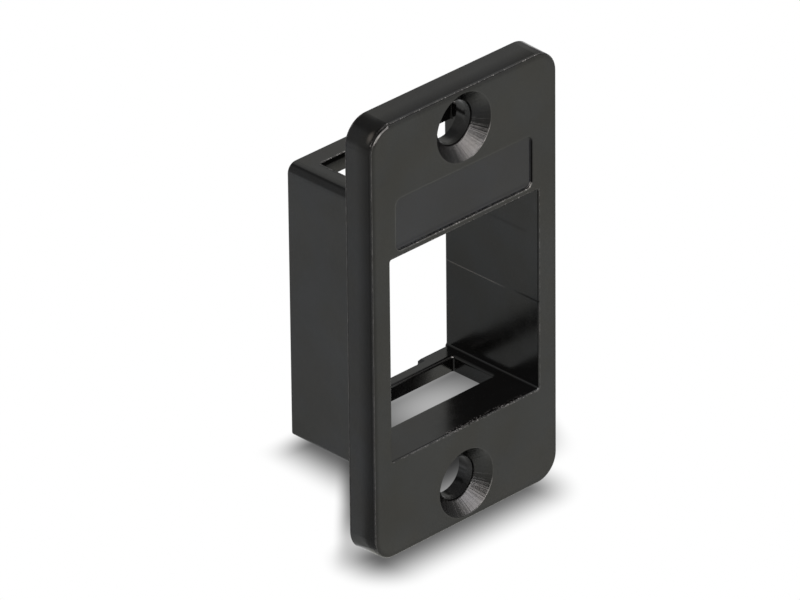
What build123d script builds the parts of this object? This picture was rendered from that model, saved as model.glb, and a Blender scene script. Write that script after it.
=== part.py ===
from build123d import *
from math import radians, tan
import os

# Keystone holder: one moulded body in satin black plastic.
# A small screw-on plate carries a snap-in port for one keystone jack. Behind the plate the port
# is walled by a rectangular collar with a latch window in its roof and in its floor.
#
# Frame: X to the right seen from the front, Y from the front to the rear, Z up.
# Origin: on the seating face (the back of the plate), midway between the two screw holes.
# All sizes are in millimetres.

# Mounting plate, measured at its back face; the draft makes the front a little smaller
plate_width = 18.75
plate_height = 35.25
plate_thickness = 2.45
plate_corner_r = 2.0
plate_draft = 2.4
plate_front_round = 0.13

# Screw holes: two countersunk holes on the centre line, for 3 mm screws
hole_spacing = 29.0
hole_r = 1.7
countersink_r = 2.72
countersink_angle = 90
bore_lip_round = 0.22

# Port for the jack, open from the front face to the rear
port_width = 14.9
port_height = 16.35
port_floor_z = -9.7
port_corner_r = 0.15
port_front_round = 0.12

# Collar behind the plate
collar_depth = 7.1
side_wall = 0.8
floor_thickness = 1.25
roof_top_z = 11.2
roof_thickness = 1.35
roof_edge_round = 0.8
floor_edge_round = 0.3
collar_rim_round = 0.12
lead_in_round = 0.2
lead_in_chamfer = 0.32

# Latch windows through the roof and the floor
window_width = 13.1
window_front_y = 1.3
window_back_y = 5.42
window_corner_r = 0.2
roof_window_round = 0.1
floor_window_round = 0.24

# Notch in the rear edge of the floor, for the fixed hook of the jack
notch_width = 9.2
notch_length = 0.75
notch_depth = 0.6
notch_corner_r = 0.1

# Recess for a label strip above the port
label_width = 13.6
label_height = 4.1
label_bottom_z = 7.15
label_depth = 0.15
label_corner_r = 0.5
label_lip_round = 0.07
label_foot_round = 0.05

# Reach either side of an edge or a face when it is picked by its place
edge_pick = 0.01

# Sizes that follow from the ones above
port_mid_z = port_floor_z + port_height / 2
collar_width = port_width + 2 * side_wall
collar_bottom_z = port_floor_z - floor_thickness
collar_height = roof_top_z - collar_bottom_z
collar_mid_z = (roof_top_z + collar_bottom_z) / 2
cavity_top_z = roof_top_z - roof_thickness
cavity_height = cavity_top_z - port_floor_z
cavity_mid_z = (cavity_top_z + port_floor_z) / 2
window_length = window_back_y - window_front_y
window_mid_y = (window_back_y + window_front_y) / 2
label_mid_z = label_bottom_z + label_height / 2
countersink_depth = (countersink_r - hole_r) / tan(radians(countersink_angle / 2))
bore_lip_y = countersink_depth - plate_thickness
label_floor_y = label_depth - plate_thickness
overall_depth = plate_thickness + collar_depth

# Planes seen from the front: X to the right, Z up, normal towards the viewer
seat = Plane.XZ
front = Plane.XZ.offset(plate_thickness)
rear = Plane.XZ.offset(-collar_depth)

with BuildPart() as keystone_holder:
    # Plate, from the seating face forwards, with its corners and front edges rounded
    with BuildSketch(seat):
        RectangleRounded(plate_width, plate_height, plate_corner_r)
    extrude(amount=plate_thickness, taper=plate_draft)
    fillet(faces().sort_by(Axis.Y)[0].edges(), radius=plate_front_round)

    # Collar, from the seating face backwards, rounder along the roof than along the floor
    with BuildSketch(seat):
        with Locations((0, collar_mid_z)):
            Rectangle(collar_width, collar_height)
        fillet(vertices().group_by(Axis.Y)[-1], radius=roof_edge_round)
        fillet(vertices().group_by(Axis.Y)[0], radius=floor_edge_round)
    extrude(amount=-collar_depth)
    fillet(faces().sort_by(Axis.Y)[-1].edges(), radius=collar_rim_round)

    # Port, straight through the plate and the collar
    with BuildSketch(front):
        with Locations((0, port_mid_z)):
            RectangleRounded(port_width, port_height, port_corner_r)
    extrude(amount=-overall_depth, mode=Mode.SUBTRACT)
    fillet(faces().sort_by(Axis.Y)[0].inner_wires()[0].edges(), radius=port_front_round)

    # Cavity behind the plate, taller than the port, where the latch of the jack snaps up
    with BuildSketch(seat):
        with Locations((0, cavity_mid_z)):
            RectangleRounded(port_width, cavity_height, port_corner_r)
    extrude(amount=-collar_depth, mode=Mode.SUBTRACT)
    fillet(faces().sort_by(Axis.Y)[-1].inner_wires()[0].edges(), radius=lead_in_round)

    # Latch windows, straight through the roof and the floor of the collar
    with BuildSketch(Plane.XY.offset(collar_bottom_z)):
        with Locations((0, window_mid_y)):
            RectangleRounded(window_width, window_length, window_corner_r)
    extrude(amount=collar_height, mode=Mode.SUBTRACT)
    for level_z, round_r in ((roof_top_z, roof_window_round), (port_floor_z, floor_window_round)):
        level = faces().filter_by(Axis.Z).filter_by_position(
            Axis.Z, level_z - edge_pick, level_z + edge_pick
        )
        fillet(level.sort_by(SortBy.AREA)[-1].inner_wires()[0].edges(), radius=round_r)

    # Lead-in chamfer along the rear edge of the floor
    with BuildSketch(Plane.YZ.offset(-port_width / 2)):
        with BuildLine():
            Polyline(
                (collar_depth - lead_in_chamfer, port_floor_z),
                (collar_depth, port_floor_z),
                (collar_depth, port_floor_z - lead_in_chamfer),
                close=True,
            )
        make_face()
    extrude(amount=port_width, mode=Mode.SUBTRACT)

    # Notch in the middle of that edge, with rounded lower corners
    with BuildSketch(rear):
        with Locations((0, port_floor_z)):
            Rectangle(notch_width, notch_depth, align=(Align.CENTER, Align.MAX))
        fillet(vertices().group_by(Axis.Y)[0], radius=notch_corner_r)
    extrude(amount=notch_length, mode=Mode.SUBTRACT)

    # Countersunk screw holes from the front face to the seating face
    with Locations(front):
        with Locations((0, hole_spacing / 2), (0, -hole_spacing / 2)):
            CounterSinkHole(
                radius=hole_r,
                counter_sink_radius=countersink_r,
                depth=plate_thickness,
                counter_sink_angle=countersink_angle,
            )
    bore_lips = edges().filter_by(GeomType.CIRCLE).filter_by_position(
        Axis.Y, bore_lip_y - edge_pick, bore_lip_y + edge_pick
    )
    fillet(bore_lips, radius=bore_lip_round)

    # Recess for the label strip
    with BuildSketch(front):
        with Locations((0, label_mid_z)):
            RectangleRounded(label_width, label_height, label_corner_r)
    extrude(amount=-label_depth, mode=Mode.SUBTRACT)
    label_floor = faces().filter_by(Axis.Y).filter_by_position(
        Axis.Y, label_floor_y - edge_pick, label_floor_y + edge_pick
    )
    fillet(label_floor.edges(), radius=label_foot_round)
    label_lip = edges().filter_by_position(
        Axis.Z, label_bottom_z - edge_pick, label_bottom_z + label_height + edge_pick
    ).filter_by_position(
        Axis.X, -label_width / 2 - edge_pick, label_width / 2 + edge_pick
    ).filter_by_position(
        Axis.Y, -plate_thickness - edge_pick, -plate_thickness + edge_pick
    )
    fillet(label_lip, radius=label_lip_round)

keystone_holder.part.label = "keystone_holder"

os.makedirs("parts", exist_ok=True)
export_step(keystone_holder.part, "parts/keystone_holder.step")

box = keystone_holder.part.bounding_box()
print("size", box.size, "volume", keystone_holder.part.volume)
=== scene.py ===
import bpy
import bmesh
import math
from mathutils import Matrix, Vector
from types import SimpleNamespace


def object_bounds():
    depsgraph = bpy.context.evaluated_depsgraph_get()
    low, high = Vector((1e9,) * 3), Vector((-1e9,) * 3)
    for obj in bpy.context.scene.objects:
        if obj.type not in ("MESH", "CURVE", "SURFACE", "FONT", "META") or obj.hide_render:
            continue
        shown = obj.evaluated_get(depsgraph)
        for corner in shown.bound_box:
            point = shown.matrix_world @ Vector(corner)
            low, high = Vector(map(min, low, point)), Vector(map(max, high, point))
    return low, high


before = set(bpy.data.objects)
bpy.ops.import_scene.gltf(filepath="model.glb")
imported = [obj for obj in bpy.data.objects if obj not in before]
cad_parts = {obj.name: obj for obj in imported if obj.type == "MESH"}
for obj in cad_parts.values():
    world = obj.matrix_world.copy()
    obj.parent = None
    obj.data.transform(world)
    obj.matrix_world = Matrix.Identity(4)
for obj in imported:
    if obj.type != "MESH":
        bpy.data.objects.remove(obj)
cad_box = [list(corner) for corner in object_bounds()]
scene = bpy.context.scene

# Sizes of the moulding in millimetres, the same as in the part's source
# X to the right seen from the front, Y from the front to the rear, Z up, the plate's back at Y 0
plate_thickness = 2.45
hole_spacing = 29.0
countersink_r = 2.72
port_width = 14.9
port_height = 16.35
port_floor_z = -9.7
port_corner_r = 0.15
side_wall = 0.8
floor_thickness = 1.25
roof_top_z = 11.2
window_width = 13.1
window_front_y = 1.3
window_back_y = 5.42
label_width = 13.6
label_height = 4.1
label_bottom_z = 7.15
label_corner_r = 0.5

# Flat of the plate's front, inside its rounded rim
flat_width = 18.3
flat_height = 34.8
flat_corner_r = 1.78

# Sizes that follow from the ones above and from the frame
front_y = -plate_thickness
flat_top_z = flat_height / 2
port_side_x = port_width / 2
port_mid_z = port_floor_z + port_height / 2
collar_side_x = port_side_x + side_wall
collar_bottom_z = port_floor_z - floor_thickness
window_side_x = window_width / 2
label_mid_z = label_bottom_z + label_height / 2
sheet_level_in_metres = cad_box[0][2]
millimetres_in_a_metre = 1000


# Helpers for node trees

def add(tree, kind, **settings):
    made = tree.nodes.new(kind)
    for name, value in settings.items():
        setattr(made, name, value)
    return made


def connect(tree, value, socket):
    if hasattr(value, "is_output"):
        tree.links.new(value, socket)
    else:
        socket.default_value = value


def fill(tree, made, **values):
    """Connect or set sockets by name, with an underscore for each space."""
    for name, value in values.items():
        connect(tree, value, made.inputs[name.replace("_", " ")])


def maths(tree, operation, *values):
    made = add(tree, "ShaderNodeMath", operation=operation)
    for value, socket in zip(values, made.inputs):
        connect(tree, value, socket)
    return made.outputs[0]


def repeated(tree, operation, values):
    result = values[0]
    for value in values[1:]:
        result = maths(tree, operation, result, value)
    return result


def times(tree, *values):
    return repeated(tree, "MULTIPLY", values)


def plus(tree, *values):
    return repeated(tree, "ADD", values)


def highest(tree, *values):
    return repeated(tree, "MAXIMUM", values)


def minus(tree, value, taken):
    return maths(tree, "SUBTRACT", value, taken)


def past(tree, value, start):
    """How far a value is past its start, or nothing."""
    return highest(tree, minus(tree, value, start), 0.0)


def short_of(tree, value, end):
    """How far a value is short of its end, or nothing."""
    return highest(tree, minus(tree, end, value), 0.0)


def vector_maths(tree, operation, *values):
    made = add(tree, "ShaderNodeVectorMath", operation=operation)
    for value, socket in zip(values, made.inputs):
        connect(tree, value, socket)
    scalar = operation in ("DOT_PRODUCT", "LENGTH")
    return made.outputs["Value" if scalar else "Vector"]


def scaled(tree, vector, factor):
    made = add(tree, "ShaderNodeVectorMath", operation="SCALE")
    fill(tree, made, Vector=vector, Scale=factor)
    return made.outputs[0]


def separate(tree, vector):
    made = add(tree, "ShaderNodeSeparateXYZ")
    connect(tree, vector, made.inputs[0])
    return [made.outputs[name] for name in "XYZ"]


def smooth_step(tree, value, start, end, low=0.0, high=1.0):
    """Low before the start, high past the end, and smooth between them. The end may come first."""
    made = add(tree, "ShaderNodeMapRange", interpolation_type="SMOOTHSTEP")
    fill(tree, made, Value=value, From_Min=start, From_Max=end, To_Min=low, To_Max=high)
    return made.outputs[0]


def between(tree, value, start, full, fading, end):
    """One from full to fading, and smoothly down to nothing at the start and the end."""
    return times(tree, smooth_step(tree, value, start, full), smooth_step(tree, value, end, fading))


def band(tree, distance, middle, reach):
    """One on a line at the middle distance, falling to nothing within the reach."""
    off = maths(tree, "ABSOLUTE", minus(tree, distance, middle))
    return smooth_step(tree, off, 0.0, reach, 1.0, 0.0)


def noise(tree, where, scale, detail, roughness):
    made = add(tree, "ShaderNodeTexNoise")
    fill(tree, made, Vector=where, Scale=scale, Detail=detail, Roughness=roughness)
    return made.outputs["Fac"]


def mix_colours(tree, share, first, second):
    made = add(tree, "ShaderNodeMix", data_type="RGBA")
    fill(tree, made, Factor=share, A=first, B=second)
    return made.outputs["Result"]


def mix_shaders(tree, share, first, second):
    made = add(tree, "ShaderNodeMixShader")
    for value, socket in zip((share, first, second), made.inputs):
        connect(tree, value, socket)
    return made.outputs[0]


def link_object(name, data):
    made = bpy.data.objects.new(name, data)
    scene.collection.objects.link(made)
    return made


# Camera at the photograph's angle, far off, aimed at the plate's front, with its places in metres

camera_azimuth = math.radians(-44.484)
camera_elevation = math.radians(28.943)
camera_roll = math.radians(-0.595)
camera_aim = Vector((-0.0065285, front_y / millimetres_in_a_metre, 0.0031586))
camera_distance = 0.66709
camera_lens = 424.24
camera_sensor_width = 36
camera_nearest = 0.05
camera_farthest = 20


def set_camera():
    back = Vector((
        math.sin(camera_azimuth) * math.cos(camera_elevation),
        -math.cos(camera_azimuth) * math.cos(camera_elevation),
        math.sin(camera_elevation),
    ))
    level_right = Vector((math.cos(camera_azimuth), math.sin(camera_azimuth), 0))
    level_up = back.cross(level_right)
    right = level_right * math.cos(camera_roll) + level_up * math.sin(camera_roll)
    up = level_up * math.cos(camera_roll) - level_right * math.sin(camera_roll)
    eye = camera_aim + back * camera_distance

    optics = bpy.data.cameras.new("camera")
    optics.sensor_width = camera_sensor_width
    optics.lens = camera_lens
    optics.clip_start = camera_nearest
    optics.clip_end = camera_farthest
    camera = link_object("camera", optics)
    camera.matrix_world = Matrix((
        (right.x, up.x, back.x, eye.x),
        (right.y, up.y, back.y, eye.y),
        (right.z, up.z, back.z, eye.z),
        (0, 0, 0, 1),
    ))
    scene.camera = camera


set_camera()


# Places on the moulding, in millimetres
# A soft bound starts and ends a little to one side of the size that it goes by

def in_millimetres(tree):
    place = add(tree, "ShaderNodeTexCoord").outputs["Object"]
    return scaled(tree, place, millimetres_in_a_metre)


def outline_distance(tree, place, width, height, corner_r, mid_z):
    """Distance to a rounded rectangle in the plane of the plate, negative inside."""
    any_depth = 1000
    reach = (width / 2 - corner_r, any_depth, height / 2 - corner_r)
    moved = vector_maths(tree, "SUBTRACT", place, (0, 0, mid_z))
    over = vector_maths(tree, "SUBTRACT", vector_maths(tree, "ABSOLUTE", moved), reach)
    outer = vector_maths(tree, "LENGTH", vector_maths(tree, "MAXIMUM", over, (0, 0, 0)))
    over_x, _, over_z = separate(tree, over)
    inner = maths(tree, "MINIMUM", highest(tree, over_x, over_z), 0.0)
    return minus(tree, plus(tree, outer, inner), corner_r)


def distance_from(tree, place, point, stretch=(1, 1, 1)):
    """Distance from a point, larger along each axis by its stretch."""
    away = vector_maths(tree, "SUBTRACT", place, point)
    return vector_maths(tree, "LENGTH", vector_maths(tree, "MULTIPLY", away, stretch))


def find_spot(tree):
    """Where a spot of the plastic lies, and how far it is from the outlines on the plate."""
    spot = SimpleNamespace(place=in_millimetres(tree))
    spot.x, spot.y, spot.z = separate(tree, spot.place)
    spot.from_middle = maths(tree, "ABSOLUTE", spot.x)
    spot.rim = outline_distance(tree, spot.place, flat_width, flat_height, flat_corner_r, 0.0)
    spot.port = outline_distance(tree, spot.place, port_width, port_height, port_corner_r, port_mid_z)
    spot.label = outline_distance(
        tree, spot.place, label_width, label_height, label_corner_r, label_mid_z
    )
    spot.at_front = smooth_step(tree, spot.y, front_y + 0.25, front_y + 0.15)
    spot.on_plate_side = smooth_step(tree, spot.rim, 0.05, 0.12)
    spot.on_port_wall = between(
        tree, spot.x, port_side_x - 0.05, port_side_x - 0.02, port_side_x + 0.05, port_side_x + 0.15
    )
    spot.above_label_foot = smooth_step(tree, spot.z, label_bottom_z + 0.15, label_bottom_z + 0.45)
    spot.at_label_foot = smooth_step(tree, spot.z, label_bottom_z + 0.45, label_bottom_z + 0.15)
    return spot


# Wear of the plastic, and painted highlights and shade: each function gives how strong its marks are, from
# nothing to about one

rubbed_edge_middle = 0.06
rubbed_edge_reach = 0.07
port_edge_middle = 0.1
chipped_left_x = -1.0
chipped_right_x = 4.5
scuff_middle = (-8.78, -1.98, 16.8)
scuff_reach = 0.5
scuff_strength = 0.75
# Painted shade: a dark line by the plate's upper left corner
painted_shade_middle = (-8.75, -2.3, 17.0)
painted_shade_reach = 1.1
painted_shade_y = -2.21
light_parting_z = -2.65
lower_parting_z = -2.54
upper_parting_z = 2.8
upper_parting_strength = 0.3
chipped_nick_strength = 0.6
# Strength of the painted shade high on the rear wall of the roof window
window_wall_shade_strength = 1.05


def edge_lines(tree, spot):
    """Fine worn lines along the edges, and a painted highlight along the collar's lower left edge."""
    # On the front: the rim, mostly on its long sides, the port and the foot of the label recess
    from_level = maths(tree, "ABSOLUTE", spot.z)
    on_long_side = smooth_step(tree, from_level, flat_top_z - 0.2, flat_top_z - 0.9, 0.1, 1.0)
    rim_edge = band(tree, spot.rim, rubbed_edge_middle, rubbed_edge_reach)
    rim = times(tree, rim_edge, spot.at_front, on_long_side)
    ragged_noise = noise(tree, spot.place, scale=3.1, detail=3.0, roughness=0.75)
    ragged = smooth_step(tree, ragged_noise, 0.44, 0.58, 0.12, 0.85)
    port_edge = band(tree, spot.port, port_edge_middle, rubbed_edge_reach)
    port = times(tree, port_edge, spot.at_front, ragged)
    label_edge = band(tree, spot.label, rubbed_edge_middle, rubbed_edge_reach)
    label = times(tree, label_edge, spot.at_front, spot.at_label_foot)

    # On the plate's top and round its back
    on_top = smooth_step(tree, spot.z, flat_top_z - 0.1, flat_top_z)
    top = times(tree, band(tree, spot.y, front_y + 0.08, 0.06), on_top)
    back = times(tree, band(tree, spot.y, -0.03, 0.09), spot.on_plate_side)

    # On the collar: a painted highlight along the lower left edge, and the roof window's rear edge and
    # sides
    on_left = smooth_step(tree, spot.x, 0.15 - collar_side_x, 0.05 - collar_side_x)
    along_collar = between(tree, spot.y, 0.02, 0.1, 4.8, 5.8)
    # Painted highlight: a light line just above the rounding of the collar's lower left edge
    collar_foot_highlight = times(tree, band(tree, spot.z, collar_bottom_z + 0.25, 0.05), on_left, along_collar)
    on_roof = smooth_step(tree, spot.z, roof_top_z - 0.10, roof_top_z - 0.04)
    in_window = smooth_step(tree, spot.from_middle, window_side_x - 0.05, window_side_x - 0.15)
    window_rear = times(tree, band(tree, spot.y, window_back_y + 0.08, 0.08), on_roof, in_window)
    along_window = between(
        tree, spot.y, window_front_y - 0.1, window_front_y, window_back_y - 0.12, window_back_y - 0.02
    )
    window_side = times(
        tree, band(tree, spot.from_middle, window_side_x + 0.14, 0.12), on_roof, along_window
    )

    crisp = highest(tree, port, label, top, window_rear, window_side)
    every = highest(tree, crisp, rim, back, collar_foot_highlight)
    return SimpleNamespace(crisp=crisp, every=every, window_rear=window_rear, in_window=in_window)


def broken_up(tree, spot):
    """Uneven strength of the worn lines and of the painted highlights along the edges."""
    patch_noise = noise(tree, spot.place, scale=2.2, detail=3.0, roughness=0.7)
    speckle_noise = noise(tree, spot.place, scale=9.0, detail=2.0, roughness=0.6)
    patchy = smooth_step(tree, patch_noise, 0.42, 0.62)
    speckled = smooth_step(tree, speckle_noise, 0.5, 0.66)
    return smooth_step(tree, plus(tree, patchy, speckled), 0.0, 1.6, 0.35, 1.0)


def window_wall_painted_shade(tree, spot, in_window):
    """Painted shade: a dark band high on the rear wall of the roof window, taken out of the gloss."""
    high_up = between(
        tree, spot.z, roof_top_z - 0.48, roof_top_z - 0.34, roof_top_z - 0.12, roof_top_z - 0.06
    )
    on_wall = between(
        tree, spot.y, window_back_y - 0.06, window_back_y - 0.02, window_back_y + 0.04, window_back_y + 0.08
    )
    return times(tree, high_up, on_wall, in_window, window_wall_shade_strength)


def edge_nicks_and_pits(tree, spot, lines):
    """Light nicks and dark pits in the edges, and the dark line at the foot of the label recess."""
    chips = noise(tree, spot.place, scale=5.0, detail=2.0, roughness=0.65)
    between_port_walls = smooth_step(tree, spot.from_middle, port_side_x - 0.05, port_side_x - 0.15)
    nicks = highest(
        tree,
        times(tree, lines.crisp, between_port_walls, smooth_step(tree, chips, 0.57, 0.66)),
        times(tree, lines.window_rear, smooth_step(tree, chips, 0.47, 0.53)),
    )
    label_foot = times(tree, band(tree, spot.label, -0.03, 0.06), spot.at_front, spot.at_label_foot)
    pits = highest(
        tree,
        times(tree, lines.crisp, smooth_step(tree, chips, 0.43, 0.36)),
        times(tree, label_foot, smooth_step(tree, chips, 0.6, 0.4)),
    )
    return nicks, pits


def port_edge_chips(tree, spot):
    """Crumbled stretch in the middle of the port's lower edge: light nicks and dark pits."""
    crumbs = noise(tree, spot.place, scale=8.0, detail=2.0, roughness=0.7)
    chipped = times(
        tree,
        band(tree, spot.port, 0.02, 0.24),
        smooth_step(tree, spot.z, port_floor_z + 0.4, port_floor_z + 0.2),
        smooth_step(tree, spot.y, front_y + 0.4, front_y + 0.25),
        between(tree, spot.x, chipped_left_x - 1.5, chipped_left_x, chipped_right_x, chipped_right_x + 2.1),
    )
    nicks = times(tree, chipped, smooth_step(tree, crumbs, 0.58, 0.66), chipped_nick_strength)
    pits = times(tree, chipped, smooth_step(tree, crumbs, 0.48, 0.40))
    return nicks, pits


def corner_scuff(tree, spot):
    """Light scuff beside the plate's upper left corner."""
    off = distance_from(tree, spot.place, scuff_middle, stretch=(1.0, 1.6, 0.5))
    return smooth_step(tree, off, scuff_reach, 0.0, 0.0, scuff_strength)


def corner_painted_shade(tree, spot):
    """Painted shade: a dark line between the scuff and the edge of that corner, taken out of the gloss."""
    off = distance_from(tree, spot.place, painted_shade_middle)
    near = smooth_step(tree, off, painted_shade_reach, painted_shade_reach - 0.5)
    return times(tree, near, band(tree, spot.y, painted_shade_y, 0.09))


def parting_lines(tree, spot):
    """Lines that the mould's core left on the right wall of the port: one light, the others dark."""
    to_rear = smooth_step(tree, spot.y, 0.4, 2.4)
    to_front = smooth_step(tree, spot.y, 0.5, -1.2)
    midway = between(tree, spot.y, -1.9, -0.6, 1.6, 3.2)
    light = times(tree, band(tree, spot.z, light_parting_z, 0.08), spot.on_port_wall, to_rear)
    lower = times(tree, band(tree, spot.z, lower_parting_z, 0.13), spot.on_port_wall, to_front)
    upper = times(tree, band(tree, spot.z, upper_parting_z, 0.2), spot.on_port_wall, midway)
    return light, plus(tree, lower, times(tree, upper, upper_parting_strength))


def find_countersinks(tree, spot):
    """Distance and direction from the middle of each screw hole."""
    holes = []
    for hole_z in (hole_spacing / 2, -hole_spacing / 2):
        moved = vector_maths(tree, "SUBTRACT", spot.place, (0, 0, hole_z))
        flat = vector_maths(tree, "MULTIPLY", moved, (1, 0, 1))
        holes.append((vector_maths(tree, "LENGTH", flat), vector_maths(tree, "NORMALIZE", flat)))
    return holes


def countersink_edge_highlights(tree, spot, holes, broken):
    """Light line round the edge of each countersink, a painted highlight, bright at its lower right."""
    toward_low_right = (0.7, 0.0, -0.7)
    rings = []
    for reach, heading in holes:
        low_right = vector_maths(tree, "DOT_PRODUCT", heading, toward_low_right)
        ring = times(tree, band(tree, reach, countersink_r + 0.01, 0.06), spot.at_front)
        rings.append(times(tree, ring, smooth_step(tree, low_right, 0.8, 0.98, 0.04, 1.0), broken))
    return plus(tree, *rings)


# Satin black plastic of the moulding

warm_black = (0.0005, 0.0004, 0.0003, 1)
cool_black = (0.0012, 0.0012, 0.0013, 1)
# Painted cool reflection in the label recess
recess_reflection_black = (0.0011, 0.0012, 0.0029, 1)
# Worn grey, also used for the painted highlight along the collar's lower edge
rubbed_grey = (0.034, 0.033, 0.032, 1)
scuffed_grey = (0.036, 0.033, 0.029, 1)
# Nicked grey, also used for the painted highlights on the countersink edges
nicked_grey = (0.16, 0.155, 0.15, 1)
warm_gloss = (1.0, 0.985, 0.94, 1)
cool_gloss = (0.97, 0.985, 1.0, 1)
refraction = 1.5

# Roughness and sheen, from their low to their high as a noise goes over its spread, and what
# is added or taken in places
noise_spread = (0.2, 0.8)
roughness_range = (0.155, 0.215)
sheen_range = (0.44, 0.55)
sheen_drift = (-0.04, 0.04)
port_wall_roughness = 0.03
# Painted shade: the sheen is taken down beside the rim
rim_shade_dulling = 0.13
light_parting_sheen = 0.2
dark_parting_dulling = 0.36
dark_mark_dulling = 0.9

# Relief in millimetres: a curved edge rises by its curve times the square of its width, and
# a sloping one by its slope times its width, or falls where these are negative
side_crown_curve = -0.05
side_crown_width = 1.45
rim_curve = -0.11
rim_curve_width = 0.4
recess_lip_curve = -2.6
recess_lip_width = 0.15
roof_edge_curve = 0.5
roof_edge_width = 0.38
corner_middle = (-8.35, front_y, 17.1)
corner_reach = 1.15
corner_slope = -1.1
corner_slope_width = 0.15
streak_height = 0.037
burr_height = 0.035
grain_height = 0.0006
mottle_height = 0.003


def plastic_colour(tree, spot, cloud, marks):
    """Near black, a little uneven, with a painted cool reflection in the label recess, and greyer where it
    is worn and where highlights are painted.
    """
    colour = mix_colours(tree, cloud, warm_black, cool_black)
    # Painted cool reflection in the label recess
    in_recess = times(tree, smooth_step(tree, spot.label, 0.0, -0.05), spot.at_front)
    for share, worn_colour in (
        (in_recess, recess_reflection_black),
        (marks.rubbed, rubbed_grey),
        (marks.scuffed, scuffed_grey),
        (marks.nicked, nicked_grey),
    ):
        colour = mix_colours(tree, share, colour, worn_colour)
    return colour


def plastic_gloss(tree, spot, cloud, grain, marks):
    """Sheen with a fine grain, weaker in painted shade by the rim and in dark marks, stronger on the light
    parting line.
    """
    grainy = smooth_step(tree, grain, *noise_spread, *sheen_range)
    cloudy = smooth_step(tree, cloud, *noise_spread, *sheen_drift)
    # Painted shade beside the rim
    rim_shade = times(
        tree,
        smooth_step(tree, spot.rim, -0.4, -0.05),
        smooth_step(tree, spot.rim, 0.06, 0.0),
        spot.at_front,
    )
    sheen = plus(tree, grainy, cloudy)
    sheen = minus(tree, sheen, times(tree, rim_shade, rim_shade_dulling))
    sheen = plus(tree, sheen, times(tree, marks.light_parting, light_parting_sheen))
    sheen = minus(tree, sheen, times(tree, marks.dark_parting, dark_parting_dulling))
    return times(tree, sheen, minus(tree, 1.0, times(tree, marks.dark, dark_mark_dulling)))


def gloss_tint(tree, spot):
    """Slight warm and cool drift of the gloss."""
    drift = noise(tree, spot.place, scale=0.33, detail=2.0, roughness=0.5)
    return mix_colours(tree, smooth_step(tree, drift, 0.35, 0.65), warm_gloss, cool_gloss)


def plate_relief(tree, spot):
    """Crowned sides and eased rim of the plate, with a rounder edge at the upper left corner."""
    in_crown = short_of(tree, minus(tree, spot.y, front_y), side_crown_width)
    crown = times(tree, in_crown, in_crown, spot.on_plate_side, side_crown_curve)
    near_rim = past(tree, spot.rim, -rim_curve_width)
    eased_rim = times(tree, near_rim, near_rim, spot.at_front, rim_curve)
    off_corner = distance_from(tree, spot.place, corner_middle)
    at_corner = smooth_step(tree, off_corner, corner_reach, corner_reach - 0.55)
    over_edge = past(tree, spot.rim, -corner_slope_width)
    rounder_corner = times(tree, over_edge, at_corner, spot.at_front, corner_slope)
    return plus(tree, crown, eased_rim, rounder_corner)


def recess_and_roof_relief(tree, spot):
    """Rounded lip of the label recess on its upper sides, and a flatter roof edge of the collar."""
    in_lip = maths(tree, "MINIMUM", short_of(tree, spot.label, recess_lip_width), recess_lip_width)
    lip = times(tree, in_lip, in_lip, spot.at_front, spot.above_label_foot, recess_lip_curve)
    in_edge = maths(tree, "MINIMUM", short_of(tree, spot.x, -port_side_x), roof_edge_width)
    on_collar_top = times(
        tree, smooth_step(tree, spot.z, 5.0, 9.0), smooth_step(tree, spot.y, 0.0, 0.05)
    )
    roof_edge = times(tree, in_edge, in_edge, on_collar_top, roof_edge_curve)
    return plus(tree, lip, roof_edge)


def turned_streaks(tree, spot, holes):
    """Streaks turned into the cone of each countersink."""
    streaks = []
    for reach, heading in holes:
        ray = noise(tree, heading, scale=13.0, detail=4.0, roughness=0.75)
        in_cone = times(
            tree,
            smooth_step(tree, reach, countersink_r + 0.02, countersink_r - 0.04),
            smooth_step(tree, spot.y, -0.6, -1.1),
        )
        streaks.append(times(tree, ray, in_cone, streak_height))
    return plus(tree, *streaks)


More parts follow.
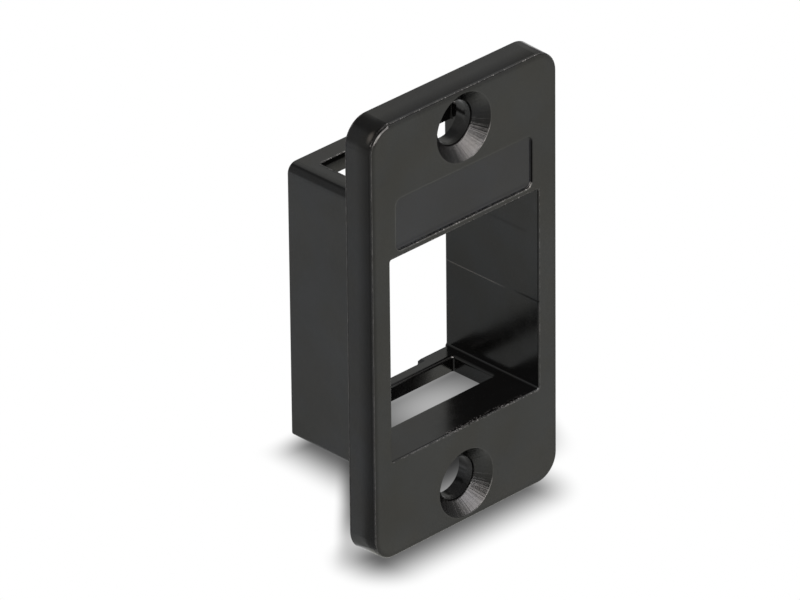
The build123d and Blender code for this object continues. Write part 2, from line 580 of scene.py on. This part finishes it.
def make_black_plastic():
    plastic = bpy.data.materials.new("satin_black_plastic")
    plastic.use_nodes = True
    tree = plastic.node_tree
    shader = tree.nodes["Principled BSDF"]
    spot = find_spot(tree)
    cloud = noise(tree, spot.place, scale=0.16, detail=3.0, roughness=0.55)
    grain = noise(tree, spot.place, scale=7.0, detail=3.0, roughness=0.6)
    mottle = noise(tree, spot.place, scale=1.1, detail=3.0, roughness=0.6)

    # Wear, with painted highlights and shade
    lines = edge_lines(tree, spot)
    broken = broken_up(tree, spot)
    edge_nicks, edge_pits = edge_nicks_and_pits(tree, spot, lines)
    port_nicks, port_pits = port_edge_chips(tree, spot)
    light_parting, dark_parting = parting_lines(tree, spot)
    wall_painted_shade = window_wall_painted_shade(tree, spot, lines.in_window)
    holes = find_countersinks(tree, spot)
    hole_edge_highlights = countersink_edge_highlights(tree, spot, holes, broken)
    # The dark marks hold pits and painted shade, the nicks also the painted countersink highlights, and the
    # worn lines the painted highlight on the collar's edge
    marks = SimpleNamespace(
        rubbed=times(tree, lines.every, broken),
        scuffed=highest(tree, light_parting, corner_scuff(tree, spot)),
        nicked=highest(tree, edge_nicks, port_nicks, hole_edge_highlights),
        dark=highest(tree, edge_pits, port_pits, wall_painted_shade, corner_painted_shade(tree, spot)),
        light_parting=light_parting,
        dark_parting=dark_parting,
    )

    # Relief
    burr_noise = noise(tree, spot.place, scale=6.0, detail=3.0, roughness=0.8)
    height = plus(
        tree,
        plate_relief(tree, spot),
        recess_and_roof_relief(tree, spot),
        turned_streaks(tree, spot, holes),
        times(tree, burr_noise, lines.every, burr_height),
        times(tree, grain, grain_height),
        times(tree, mottle, mottle_height),
    )
    bump = add(tree, "ShaderNodeBump")
    fill(tree, bump, Height=height, Strength=1.0, Distance=1 / millimetres_in_a_metre)

    # Duller in soft patches, and on the right wall of the port
    patches = smooth_step(tree, mottle, *noise_spread, *roughness_range)
    roughness = plus(tree, patches, times(tree, spot.on_port_wall, port_wall_roughness))
    connect(tree, roughness, shader.inputs["Roughness"])
    connect(tree, plastic_colour(tree, spot, cloud, marks), shader.inputs["Base Color"])
    connect(tree, plastic_gloss(tree, spot, cloud, grain, marks), shader.inputs["Specular IOR Level"])
    connect(tree, gloss_tint(tree, spot), shader.inputs["Specular Tint"])
    connect(tree, bump.outputs["Normal"], shader.inputs["Normal"])
    shader.inputs["IOR"].default_value = refraction
    return plastic


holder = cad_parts["keystone_holder"]
holder.data.materials.clear()
holder.data.materials.append(make_black_plastic())


# Floor: a sheet of white paper
# Its shade is worked out from places on the sheet, in millimetres, and isn't cast by the lighting

sheet_half_width_in_metres = 3
paper_white = (0.8, 0.8, 0.8, 1)
foot_middle_x = -1.02
foot_half_length = 7.11
foot_front_y = -2.05
foot_back_y = -1.6
foot_shade_start = -0.11
foot_shade_reach = 4.63
light_at_foot = 0.135
left_side_slope = 0.054
right_side_slope = 0.459
plate_side_slope = 1.02
lit_spot_middle = (10.4, 9.2, sheet_level_in_metres * millimetres_in_a_metre)
lit_spot_reach = 6.9
lit_spot_depth = 0.43
long_shade_depth = 0.875
wide_shade_depth = 0.75

# Soft bounds of the shade: where it is nothing, and where it is full
plate_bound_y = (-1.7, 4.75)
long_left_bound = (-5.26, -0.46)
long_rear_bound_y = (16.1, 13.3)
right_bound = (14.2, 9.6)
wide_left_bound = (-11.4, -9.4)
wide_rear_bound_y = (12.9, 5.85)


def foot_shade(tree, x, y):
    """Light left in the close shade round the plate's foot."""
    from_foot_middle = maths(tree, "ABSOLUTE", minus(tree, x, foot_middle_x))
    beside = times(tree, past(tree, from_foot_middle, foot_half_length), 1.05)
    in_front = short_of(tree, y, foot_front_y)
    behind = times(tree, past(tree, y, foot_back_y), 1.14)
    off = add(tree, "ShaderNodeCombineXYZ")
    fill(tree, off, X=beside, Y=in_front, Z=behind)
    distance = vector_maths(tree, "LENGTH", off.outputs[0])
    return smooth_step(tree, distance, foot_shade_start, foot_shade_reach, light_at_foot, 1.0)


def slanted(tree, x, y, slope):
    """Place across the shade, along sides that slant with the light."""
    return minus(tree, x, times(tree, y, slope))


def long_shade(tree, place, x, y, from_plate, right_end):
    """Light left in the long shade behind the part, with more of it where it falls through the port."""
    long = times(
        tree,
        smooth_step(tree, slanted(tree, x, y, left_side_slope), *long_left_bound),
        smooth_step(tree, y, *long_rear_bound_y),
        from_plate,
        right_end,
    )
    off = distance_from(tree, place, lit_spot_middle)
    depth = smooth_step(tree, off, lit_spot_reach, 0.0, long_shade_depth, lit_spot_depth)
    return minus(tree, 1.0, times(tree, long, depth))


def wide_shade(tree, x, y, from_plate, right_end):
    """Light left in the soft edge of the plate's own shade, further to the left."""
    wide = times(
        tree,
        smooth_step(tree, slanted(tree, x, y, plate_side_slope), *wide_left_bound),
        smooth_step(tree, y, *wide_rear_bound_y),
        from_plate,
        right_end,
        wide_shade_depth,
    )
    return minus(tree, 1.0, wide)


def soft_shadow(tree, place):
    """Light left on the sheet by all the shade, and by the long shade alone."""
    x, y, _ = separate(tree, place)
    from_plate = smooth_step(tree, y, *plate_bound_y)
    right_end = smooth_step(tree, slanted(tree, x, y, right_side_slope), *right_bound)
    sheltered = long_shade(tree, place, x, y, from_plate, right_end)
    shade = times(
        tree, foot_shade(tree, x, y), sheltered, wide_shade(tree, x, y, from_plate, right_end)
    )
    return shade, sheltered


# The sheet as the plastic mirrors it: its tone by the side of the part on which it lies
# The angle is in degrees round a middle near the part: 0 in front, 90 to the right, -90 to the left
mirror_middle = (-9.4, -1.0, 0)
mirrored_tones = (
    (-180, (0.46, 0.47, 0.46)),
    (-165, (0.54, 0.55, 0.54)),
    (-146, (0.70, 0.71, 0.71)),
    (-137, (0.74, 0.75, 0.75)),
    (-130, (0.66, 0.67, 0.68)),
    (-114, (0.32, 0.32, 0.32)),
    (-80, (0.34, 0.34, 0.34)),
    (-50, (0.40, 0.40, 0.40)),
    (-32, (0.45, 0.45, 0.45)),
    (-10, (0.75, 0.75, 0.72)),
    (14, (0.84, 0.84, 0.80)),
    (44, (0.86, 0.86, 0.80)),
    (80, (0.84, 0.84, 0.79)),
    (105, (0.92, 0.92, 0.90)),
    (140, (0.95, 0.95, 0.95)),
    (158, (0.40, 0.41, 0.41)),
    (180, (0.46, 0.47, 0.46)),
)

# It is a little brighter some way off and dimmer far away: the distances where the change starts
# and ends, and the share of light before and after it
brighter_sheet = (75.0, 140.0, 1.0, 1.2)
dimmer_sheet = (150.0, 500.0, 1.0, 0.72)


def ring_of_tones(tree, place):
    x, y, _ = separate(tree, vector_maths(tree, "SUBTRACT", place, mirror_middle))
    turn = maths(tree, "ARCTAN2", x, times(tree, y, -1.0))
    share_of_turn = plus(tree, maths(tree, "DIVIDE", turn, 2 * math.pi), 0.5)
    ring = add(tree, "ShaderNodeValToRGB")
    connect(tree, share_of_turn, ring.inputs["Fac"])
    ramp = ring.color_ramp
    ramp.interpolation = "EASE"
    for angle, tone in mirrored_tones:
        position = angle / 360 + 0.5
        if position == 0:
            stop = ramp.elements[0]
        elif position == 1:
            stop = ramp.elements[-1]
        else:
            stop = ramp.elements.new(position)
        stop.color = (*tone, 1)
    return ring.outputs["Color"]


def make_white_paper():
    paper = bpy.data.materials.new("white_paper")
    paper.use_nodes = True
    tree = paper.node_tree
    tree.nodes.clear()
    place = in_millimetres(tree)
    shade, sheltered = soft_shadow(tree, place)

    matt = add(tree, "ShaderNodeBsdfDiffuse")
    matt.inputs["Color"].default_value = paper_white
    seen = add(tree, "ShaderNodeEmission")
    connect(tree, shade, seen.inputs["Strength"])

    away = vector_maths(tree, "LENGTH", place)
    brighter = smooth_step(tree, away, *brighter_sheet)
    dimmer = smooth_step(tree, away, *dimmer_sheet)
    strength = times(tree, sheltered, brighter, dimmer)
    mirrored = add(tree, "ShaderNodeEmission")
    fill(tree, mirrored, Color=ring_of_tones(tree, place), Strength=strength)

    ray = add(tree, "ShaderNodeLightPath")
    in_gloss = mix_shaders(tree, ray.outputs["Is Glossy Ray"], matt.outputs[0], mirrored.outputs[0])
    surface = mix_shaders(tree, ray.outputs["Is Camera Ray"], in_gloss, seen.outputs[0])
    out = add(tree, "ShaderNodeOutputMaterial")
    connect(tree, surface, out.inputs["Surface"])
    return paper


def make_floor():
    sheet = bmesh.new()
    bmesh.ops.create_grid(sheet, x_segments=1, y_segments=1, size=sheet_half_width_in_metres)
    bmesh.ops.translate(sheet, verts=sheet.verts, vec=(0, 0, sheet_level_in_metres))
    mesh = bpy.data.meshes.new("floor")
    sheet.to_mesh(mesh)
    sheet.free()
    mesh.materials.append(make_white_paper())
    floor = link_object("floor", mesh)


make_floor()


# Surroundings: white to the camera, and for the light a dim base with soft bright quarters
# Each quarter has its direction, the angles from there in degrees where it starts to fade and
# where it ends, and its colour

base_light = (0.22, 0.22, 0.22)
bright_quarters = (
    ((0.055, -0.697, 0.713), 18, 30, (6.5, 6.15, 6.2)),  # high in front
    ((-0.532, -0.447, 0.719), 15, 27, (9.4, 9.1, 9.1)),  # high at the front left
    ((0.623, -0.088, 0.777), 10, 28, (0.70, 0.70, 0.70)),  # high at the right
    ((0.621, -0.485, 0.616), 8, 24, (0.35, 0.35, 0.34)),  # front right
    ((0.74, -0.20, 0.64), 22, 42, (0.13, 0.13, 0.13)),  # right, wide and faint
    ((0.34, -0.94, 0.05), 24, 40, (0.60, 0.60, 0.57)),  # low in front
    ((0.595, 0.684, 0.423), 3, 23, (0.33, 0.33, 0.31)),  # behind at the right
    ((-0.76, 0.636, 0.14), 28, 48, (0.21, 0.21, 0.21)),  # low behind at the left
)


def set_surroundings():
    world = bpy.data.worlds.new("studio")
    world.use_nodes = True
    tree = world.node_tree
    tree.nodes.clear()
    toward = add(tree, "ShaderNodeTexCoord").outputs["Generated"]
    light = base_light
    for heading, fading_angle, end_angle, colour in bright_quarters:
        facing = vector_maths(tree, "DOT_PRODUCT", toward, Vector(heading).normalized())
        end = math.cos(math.radians(end_angle))
        full = math.cos(math.radians(fading_angle))
        share = smooth_step(tree, facing, end, full)
        light = vector_maths(tree, "ADD", light, scaled(tree, colour, share))
    dim = add(tree, "ShaderNodeBackground")
    connect(tree, light, dim.inputs["Color"])
    white = add(tree, "ShaderNodeBackground")
    white.inputs["Color"].default_value = (1, 1, 1, 1)
    ray = add(tree, "ShaderNodeLightPath")
    surface = mix_shaders(tree, ray.outputs["Is Camera Ray"], dim.outputs[0], white.outputs[0])
    out = add(tree, "ShaderNodeOutputWorld")
    connect(tree, surface, out.inputs["Surface"])
    scene.world = world


set_surroundings()

scene.view_settings.view_transform = "Standard"
